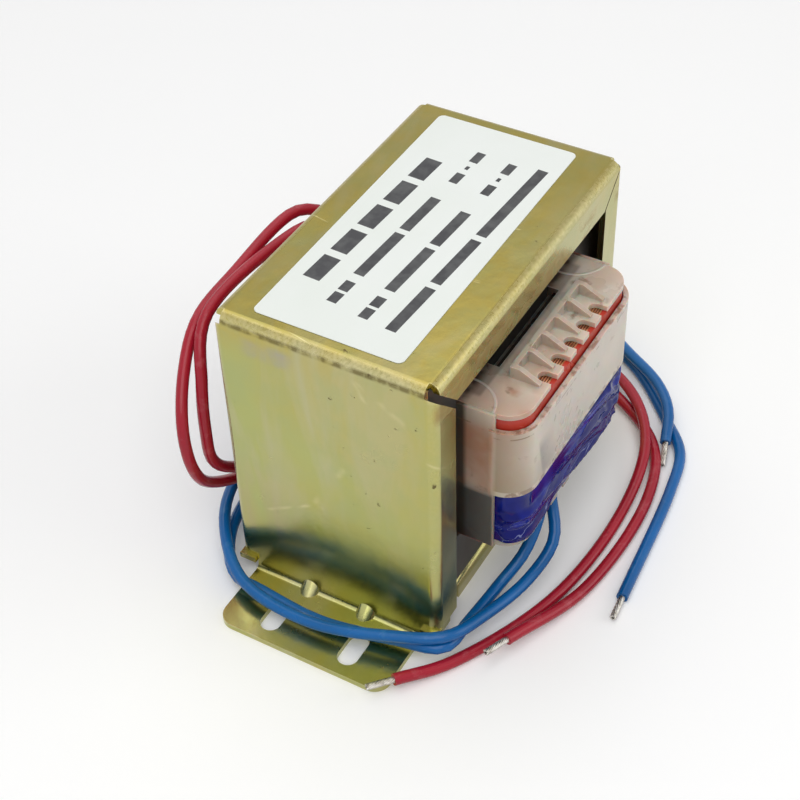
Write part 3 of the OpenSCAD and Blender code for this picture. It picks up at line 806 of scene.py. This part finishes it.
def softPvc(name, first, second, dusty):
    material, tree, shader, place = newMaterial(name, IOR=1.52, Specular_IOR_Level=0.3)
    tone = noise(tree, place, 40.0, 3)
    colour = mixColour(tree, remap(tree, tone, 0.3, 0.7), first, second)
    scuff = useGroup(tree, spots, Vector=place, Scale=260.0, Low=0.56, High=0.74)["Mask"]
    colour = mixColour(tree, times(tree, scuff, 0.22), colour, dusty)
    speck = useGroup(tree, spots, Vector=place, Scale=900.0, Low=0.68, High=0.72)["Mask"]
    colour = tinge(tree, colour, (0.02, 0.015, 0.015, 1), speck, 0.35)
    feed(tree, shader.inputs["Base Color"], colour)
    varyRoughness(tree, shader, tone, 0.16, 0.30)
    ripple = bump(tree, noise(tree, place, 160.0, 2), 0.18, 0.0004)
    feed(tree, shader.inputs["Normal"], bump(tree, noise(tree, place, 1100.0, 2), 0.12, 0.0001, ripple))
    return material


def tinnedWire():
    material, tree, shader, place = newMaterial("tinnedStrand", Metallic=1.0)
    tone = noise(tree, place, 700.0, 3)
    colour = mottle(tree, tone, (0.34, 0.31, 0.27, 1), (0.62, 0.60, 0.56, 1))
    feed(tree, shader.inputs["Base Color"], colour)
    varyRoughness(tree, shader, tone, 0.22, 0.42)
    feed(tree, shader.inputs["Normal"], bump(tree, tone, 0.2, 0.0002))
    return material


copperMaterial = copperWire("copperWire", (0.42, 0.16, 0.07, 1), (0.66, 0.36, 0.19, 1))
coilMaterial = copperWire("varnishedCoil", (0.07, 0.022, 0.010, 1), (0.15, 0.05, 0.022, 1))
redFilm = tapeFilm("redFilm", (0.42, 0.028, 0.016, 1), (0.52, 0.045, 0.026, 1), 0.08, 0.18, 0.35)
blueFilm = foldedFilm("blueFilm", foldSetup)
redPvc = softPvc("redPvc", (0.33, 0.007, 0.022, 1), (0.42, 0.012, 0.030, 1), (0.60, 0.20, 0.22, 1))
bluePvc = softPvc("bluePvc", (0.001, 0.085, 0.27, 1), (0.003, 0.135, 0.43, 1), (0.10, 0.28, 0.45, 1))
tinnedMaterial = tinnedWire()


# label

labelSetup = {
    "paper": (0.79, 0.83, 0.78, 1),
    "ink": (0.022, 0.022, 0.026, 1),
    "tilt": -2.8,  # degrees, the print is a little askew on the label
    # bars in mm: left end, right end, middle height, thickness
    "bars": [
        (-26.5, -18.3, 12.2, 4.2), (-16.2, -8.0, 12.2, 4.2), (-5.9, 2.3, 12.2, 4.2),
        (4.4, 12.6, 12.2, 4.2), (14.7, 22.9, 12.2, 4.2),
        (-30.8, -27.4, 4.2, 2.4), (-26.6, -23.2, 4.2, 2.4), (-20.6, -4.2, 4.2, 2.6),
        (-2.6, 10.6, 4.2, 2.6), (17.4, 21.4, 4.2, 2.2), (23.2, 24.6, 4.2, 0.9),
        (26.4, 30.6, 4.2, 2.2),
        (-31.8, -28.4, -4.2, 2.4), (-27.6, -24.2, -4.2, 2.4), (-21.6, -5.4, -4.2, 2.6),
        (-3.8, 9.4, -4.2, 2.6), (17.0, 21.0, -4.2, 2.2), (22.8, 24.2, -4.2, 0.9),
        (26.0, 30.2, -4.2, 2.2),
        (-32.2, -16.6, -11.2, 2.6), (-14.8, 2.0, -11.2, 2.6), (3.8, 31.6, -11.2, 2.6),
    ],
    "paperLight": (0.83, 0.86, 0.83, 1),
}


def labelFace(setup):
    material, tree, shader, place = newMaterial("labelFace", Roughness=0.42)
    turned = placed(tree, place, (1, 1, 1), (0, 0, math.radians(-setup["tilt"])))
    axes = splitAxes(tree, turned)
    ink = 0.0
    for left, right, middle, thick in setup["bars"]:
        across = maths(tree, "ABSOLUTE", maths(tree, "SUBTRACT", axes["X"],
                                               (left + right) / 2 * mm))
        along = maths(tree, "ABSOLUTE", maths(tree, "SUBTRACT", axes["Y"], middle * mm))
        inside = times(tree, maths(tree, "LESS_THAN", across, (right - left) / 2 * mm),
                       maths(tree, "LESS_THAN", along, thick / 2 * mm))
        ink = maths(tree, "MAXIMUM", ink, inside)
    fade = remap(tree, noise(tree, place, 350.0, 4), 0.30, 0.62, 0.94, 1.0)
    grain = noise(tree, place, 30.0, 3)
    paper = mottle(tree, grain, setup["paper"], setup["paperLight"])
    colour = mixColour(tree, times(tree, ink, fade), paper, setup["ink"])
    feed(tree, shader.inputs["Base Color"], colour)
    varyRoughness(tree, shader, grain, 0.34, 0.48)
    feed(tree, shader.inputs["Normal"], bump(tree, noise(tree, place, 45.0, 2), 0.12, 0.0004))
    return material


labelMaterial = labelFace(labelSetup)


# finishes on the carried nodes

nodeFinishes = {
    "cover_frame": zincCover,
    "base_plate": zincBase,
    "e_sheets_lower": laminationMaterial,
    "e_sheets_upper": laminationMaterial,
    "i_sheets_lower": laminationMaterial,
    "i_sheets_upper": laminationMaterial,
    "bobbin": nylonBobbinMaterial,
    "coil_cover_front": nylonCoverMaterial,
    "coil_cover_rear": nylonCoverMaterial,
    "primary_winding": coilMaterial,
    "secondary_winding": coilMaterial,
    "primary_tape": redFilm,
    "secondary_tape": blueFilm,
    "label": labelMaterial,
}

for nodeName, finish in nodeFinishes.items():
    for materialSlot in cadNodes[nodeName].material_slots:
        materialSlot.material = finish
print("finishes set")


# stripped ends

strandSetup = {
    "length": 6.5,
    "hidden": 1.0,  # what stays inside the insulation
    "strands": 7,
    "strandDiameter": 0.52,
    "bundleRadius": 0.52,
    "turns": 1.1,
    "sides": 6,
}


def geoTree(name, inputs):
    tree = bpy.data.node_groups.new(name, "GeometryNodeTree")
    tree.interface.new_socket("Geometry", in_out="OUTPUT", socket_type="NodeSocketGeometry")
    sockets = {}
    for label, kind, value in inputs:
        socket = tree.interface.new_socket(label, in_out="INPUT", socket_type="NodeSocket" + kind)
        if kind != "Material":
            socket.default_value = value
        sockets[label] = socket.identifier
    start = tree.nodes.new("NodeGroupInput").outputs
    end = tree.nodes.new("NodeGroupOutput").inputs
    return tree, start, end, sockets


def geoNode(tree, kind, links=(), **values):
    made = tree.nodes.new(kind)
    for key, value in values.items():
        setattr(made, key, value)
    for key, source in dict(links).items():
        feed(tree, made.inputs[key], source)
    return made


def bakeTree(name, tree, sockets, values):
    # runs the tree on an empty mesh and keeps the result as a plain mesh
    carrier = bpy.data.objects.new(name + "Carrier", bpy.data.meshes.new(name))
    bpy.context.scene.collection.objects.link(carrier)
    modifier = carrier.modifiers.new("build", "NODES")
    modifier.node_group = tree
    for label, value in values.items():
        modifier[sockets[label]] = value
    evaluated = carrier.evaluated_get(bpy.context.evaluated_depsgraph_get())
    mesh = bpy.data.meshes.new_from_object(evaluated)
    mesh.name = name
    made = bpy.data.objects.new(name, mesh)
    bpy.context.scene.collection.objects.link(made)
    bpy.data.objects.remove(carrier)
    return made


def strandTree():
    tree, given, result, sockets = geoTree("twistedStrands", [
        ("Length", "Float", 0.006), ("Bundle Radius", "Float", 0.0005),
        ("Strand Radius", "Float", 0.00025), ("Turns", "Float", 1.0),
        ("Strands", "Int", 7), ("Sides", "Int", 6), ("Start", "Vector", (0, 0, 0)),
        ("Turn", "Rotation", (0, 0, 0)), ("Material", "Material", None)])
    helix = geoNode(tree, "GeometryNodeCurveSpiral", [
        ("Resolution", 24), ("Rotations", given["Turns"]), ("Start Radius", given["Bundle Radius"]),
        ("End Radius", given["Bundle Radius"]), ("Height", given["Length"]), ("Reverse", False)])
    points = geoNode(tree, "GeometryNodePoints", [("Count", given["Strands"])])
    index = geoNode(tree, "GeometryNodeInputIndex").outputs["Index"]
    share = geoNode(tree, "ShaderNodeMath", operation="DIVIDE")
    feed(tree, share.inputs[0], index)
    feed(tree, share.inputs[1], given["Strands"])
    angle = geoNode(tree, "ShaderNodeMath", operation="MULTIPLY")
    feed(tree, angle.inputs[0], share.outputs[0])
    angle.inputs[1].default_value = 2 * math.pi
    spin = geoNode(tree, "ShaderNodeCombineXYZ", [("Z", angle.outputs[0])])
    toRotation = geoNode(tree, "FunctionNodeEulerToRotation", [("Euler", spin.outputs["Vector"])])
    copies = geoNode(tree, "GeometryNodeInstanceOnPoints", [
        ("Points", points.outputs["Points"]), ("Instance", helix.outputs["Curve"]),
        ("Rotation", toRotation.outputs["Rotation"])])
    lines = geoNode(tree, "GeometryNodeRealizeInstances", [("Geometry", copies.outputs["Instances"])])
    profile = geoNode(tree, "GeometryNodeCurvePrimitiveCircle", [
        ("Resolution", given["Sides"]), ("Radius", given["Strand Radius"])])
    tubes = geoNode(tree, "GeometryNodeCurveToMesh", [
        ("Curve", lines.outputs["Geometry"]), ("Profile Curve", profile.outputs["Curve"]),
        ("Fill Caps", True)])
    moved = geoNode(tree, "GeometryNodeTransform", [
        ("Geometry", tubes.outputs["Mesh"]), ("Translation", given["Start"]),
        ("Rotation", given["Turn"])])
    smooth = geoNode(tree, "GeometryNodeSetShadeSmooth", [("Geometry", moved.outputs["Geometry"])])
    coated = geoNode(tree, "GeometryNodeSetMaterial", [
        ("Geometry", smooth.outputs["Geometry"]), ("Material", given["Material"])])
    feed(tree, result["Geometry"], coated.outputs["Geometry"])
    return tree, sockets


strandBuild, strandSockets = strandTree()


def makeEnd(name, line, setup):
    way = (line[-1] - line[-2]).normalized()
    turn = way.to_track_quat("Z", "X").to_euler()
    return bakeTree(name, strandBuild, strandSockets, {
        "Length": (setup["length"] + setup["hidden"]) * mm,
        "Bundle Radius": setup["bundleRadius"] * mm,
        "Strand Radius": setup["strandDiameter"] / 2 * mm,
        "Turns": setup["turns"],
        "Strands": setup["strands"],
        "Sides": setup["sides"],
        "Start": (line[-1] - setup["hidden"] * way) * mm,
        "Turn": turn,
        "Material": tinnedMaterial,
    })


# copper turns that show through the comb's notches

turnSetup = {
    "halfX": 26.3, "halfY": 35.95, "corner": 4.7, "pitch": 0.56, "count": 10, "wireRadius": 0.2,
    "layers": {"primary_turns": 59.42, "secondary_turns": 22.3},
}


def turnTree():
    tree, given, result, sockets = geoTree("flatTurns", [
        ("Half X", "Float", 0.026), ("Half Y", "Float", 0.036), ("Corner", "Float", 0.0047),
        ("Pitch", "Float", 0.0005), ("Count", "Int", 10), ("Wire Radius", "Float", 0.0002),
        ("Height", "Float", 0.05), ("Material", "Material", None)])

    tightest = 0.0006  # the innermost turns' corner radius, in metres

    def vectorMaths(operation, first, second=None):
        made = geoNode(tree, "ShaderNodeVectorMath", operation=operation)
        feed(tree, made.inputs[0], first)
        if second is not None:
            feed(tree, made.inputs["Scale" if operation == "SCALE" else 1], second)
        return made.outputs["Vector"]

    def numberMaths(operation, first, second):
        made = geoNode(tree, "ShaderNodeMath", operation=operation)
        feed(tree, made.inputs[0], first)
        feed(tree, made.inputs[1], second)
        return made.outputs[0]

    outline = geoNode(tree, "GeometryNodeCurvePrimitiveQuadrilateral", [
        ("Width", numberMaths("MULTIPLY", given["Half X"], 2.0)),
        ("Height", numberMaths("MULTIPLY", given["Half Y"], 2.0))])
    eased = geoNode(tree, "GeometryNodeFilletCurve", [
        ("Curve", outline.outputs["Curve"]), ("Radius", given["Corner"])], mode="POLY")
    eased.inputs["Count"].default_value = 7
    copies = geoNode(tree, "GeometryNodeDuplicateElements", [
        ("Geometry", eased.outputs["Curve"]), ("Amount", given["Count"])], domain="SPLINE")
    # every turn lies one pitch further in, with its corners kept round
    inward = numberMaths("MULTIPLY", copies.outputs["Duplicate Index"], given["Pitch"])
    place = geoNode(tree, "GeometryNodeInputPosition").outputs["Position"]
    room = geoNode(tree, "ShaderNodeCombineXYZ", [
        ("X", numberMaths("SUBTRACT", given["Half X"], given["Corner"])),
        ("Y", numberMaths("SUBTRACT", given["Half Y"], given["Corner"]))]).outputs["Vector"]
    centre = vectorMaths("MINIMUM", vectorMaths("MAXIMUM", place, vectorMaths("SCALE", room, -1.0)),
                         room)
    outward = vectorMaths("NORMALIZE", vectorMaths("SUBTRACT", place, centre))
    radius = numberMaths("MAXIMUM", numberMaths("SUBTRACT", given["Corner"], inward), tightest)
    short = numberMaths("MAXIMUM", numberMaths("SUBTRACT", inward, numberMaths(
        "SUBTRACT", given["Corner"], tightest)), 0.0)
    centre = vectorMaths("SUBTRACT", centre, vectorMaths("SCALE", vectorMaths("SIGN", centre), short))
    lifted = geoNode(tree, "ShaderNodeCombineXYZ", [("Z", given["Height"])]).outputs["Vector"]
    target = vectorMaths("ADD", vectorMaths("ADD", centre, vectorMaths("SCALE", outward, radius)),
                         lifted)
    turns = geoNode(tree, "GeometryNodeSetPosition", [
        ("Geometry", copies.outputs["Geometry"]), ("Position", target)])
    profile = geoNode(tree, "GeometryNodeCurvePrimitiveCircle", [
        ("Resolution", 8), ("Radius", given["Wire Radius"])])
    wires = geoNode(tree, "GeometryNodeCurveToMesh", [
        ("Curve", turns.outputs["Geometry"]), ("Profile Curve", profile.outputs["Curve"])])
    smooth = geoNode(tree, "GeometryNodeSetShadeSmooth", [("Geometry", wires.outputs["Mesh"])])
    solid = geoNode(tree, "GeometryNodeRealizeInstances", [("Geometry", smooth.outputs["Geometry"])])
    coated = geoNode(tree, "GeometryNodeSetMaterial", [
        ("Geometry", solid.outputs["Geometry"]), ("Material", given["Material"])])
    feed(tree, result["Geometry"], coated.outputs["Geometry"])
    return tree, sockets


turnBuild, turnSockets = turnTree()
for turnName, turnHeight in turnSetup["layers"].items():
    turnPiece = bakeTree(turnName, turnBuild, turnSockets, {
        "Half X": turnSetup["halfX"] * mm,
        "Half Y": turnSetup["halfY"] * mm,
        "Corner": turnSetup["corner"] * mm,
        "Pitch": turnSetup["pitch"] * mm,
        "Count": turnSetup["count"],
        "Wire Radius": turnSetup["wireRadius"] * mm,
        "Height": turnHeight * mm,
        "Material": copperMaterial,
    })
    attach(turnPiece, "root")
print("copper turns made")


# blue wrap round the lower section

wrapSetup = {
    "halfX": 27.5, "halfY": 37.05, "corner": 5.85, "bottom": 22.3, "top": 38.0,
    "thickness": 0.95, "columnStep": 0.55, "rows": 40,
    "bulge": 0.74, "fold": 0.95, "crumple": 1.0, "least": 0.32, "most": 1.35,
    "cheekEnd": 31.4,  # the covers' cheeks hold the wrap flat up to here
}


def roundedOutline(halfX, halfY, corner, step):
    points = []
    corners = [(1, 1, 0), (-1, 1, 90), (-1, -1, 180), (1, -1, 270)]
    for k, (sx, sy, start) in enumerate(corners):
        centre = Vector((sx * (halfX - corner), sy * (halfY - corner)))
        pieces = max(4, round(corner * math.pi / 2 / step))
        for n in range(pieces):
            angle = math.radians(start + 90 * n / pieces)
            out = Vector((math.cos(angle), math.sin(angle)))
            points.append((centre + corner * out, out))
        nx, ny, _ = corners[(k + 1) % 4]
        angle = math.radians(start + 90)
        out = Vector((round(math.cos(angle)), round(math.sin(angle))))
        first = centre + corner * out
        last = Vector((nx * (halfX - corner), ny * (halfY - corner))) + corner * out
        pieces = max(2, round((last - first).length / step))
        points.extend((first.lerp(last, n / pieces), out) for n in range(pieces))
    return points


def smoothStep(value, low, high):
    share = min(1.0, max(0.0, (value - low) / (high - low)))
    return share * share * (3 - 2 * share)


def wrapPush(place, z, setup):
    free = smoothStep(abs(place.y), setup["cheekEnd"] + 0.2, setup["cheekEnd"] + 2.6)
    share = (z - setup["bottom"]) / (setup["top"] - setup["bottom"])
    belly = 1.0 - 0.75 * smoothStep(share, 0.72, 1.0)
    # broad flat folds run along the coil with sharp crests, drooping a little towards +X
    drooped = z + 0.16 * place.x
    long = fieldNoise.noise(Vector((place.x * 0.030, place.y * 0.04, drooped * 0.20)))
    fine = fieldNoise.noise(Vector((place.x * 0.07 + 9, place.y * 0.06, drooped * 0.46)))
    folds = (0.55 - abs(long) * 2.6) + 0.40 * (0.35 - abs(fine) * 2)
    gather = smoothStep(place.x, 8, 25)
    crush = abs(fieldNoise.noise(Vector((place.x * 0.26, place.y * 0.2, drooped * 0.34 + 4))))
    height = setup["bulge"] * belly + setup["fold"] * folds * belly
    height += gather * setup["crumple"] * belly * (0.45 - crush * 1.8)
    return free * min(setup["most"], max(setup["least"], height))


def makeWrap(setup):
    outline = roundedOutline(setup["halfX"], setup["halfY"], setup["corner"], setup["columnStep"])
    count, rows = len(outline), setup["rows"]
    vertices, faces = [], []
    for j in range(rows + 1):
        z = setup["bottom"] + (setup["top"] - setup["bottom"]) * j / rows
        for place, out in outline:
            spot = place + out * wrapPush(place, z, setup)
            vertices.append((spot.x * mm, spot.y * mm, z * mm))
    inner = len(vertices)
    for z in (setup["bottom"], setup["top"]):
        for place, out in outline:
            spot = place - out * setup["thickness"]
            vertices.append((spot.x * mm, spot.y * mm, z * mm))
    for i in range(count):
        n = (i + 1) % count
        for j in range(rows):
            faces.append((j * count + i, j * count + n, (j + 1) * count + n, (j + 1) * count + i))
        low, high, upper = inner, inner + count, rows * count
        faces.append((low + n, low + i, high + i, high + n))
        faces.append((n, i, low + i, low + n))
        faces.append((upper + i, upper + n, high + n, high + i))
    mesh = bpy.data.meshes.new("blue_wrap")
    mesh.from_pydata(vertices, [], faces)
    mesh.shade_smooth()
    mesh.materials.append(blueFilm)
    wrap = bpy.data.objects.new("blue_wrap", mesh)
    bpy.context.scene.collection.objects.link(wrap)
    return wrap


blueWrap = makeWrap(wrapSetup)
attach(blueWrap, "root")
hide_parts("secondary_tape")
print("blue wrap made")


leadFinish = {"red": (redPvc, "red_pvc"), "blue": (bluePvc, "blue_pvc")}
for leadName, (leadPiece, leadLine, leadLength) in leads.items():
    endName = leadName.replace("lead", "end")
    endPiece = makeEnd(endName + "_strands", leadLine, strandSetup)
    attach(endPiece, "root")
    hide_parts(endName)
    pvc, slotName = leadFinish[leadName.split("_")[0]]
    leadPiece.data.materials.append(pvc)
    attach(leadPiece, "root")
    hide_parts(leadName)
print("leads finished")
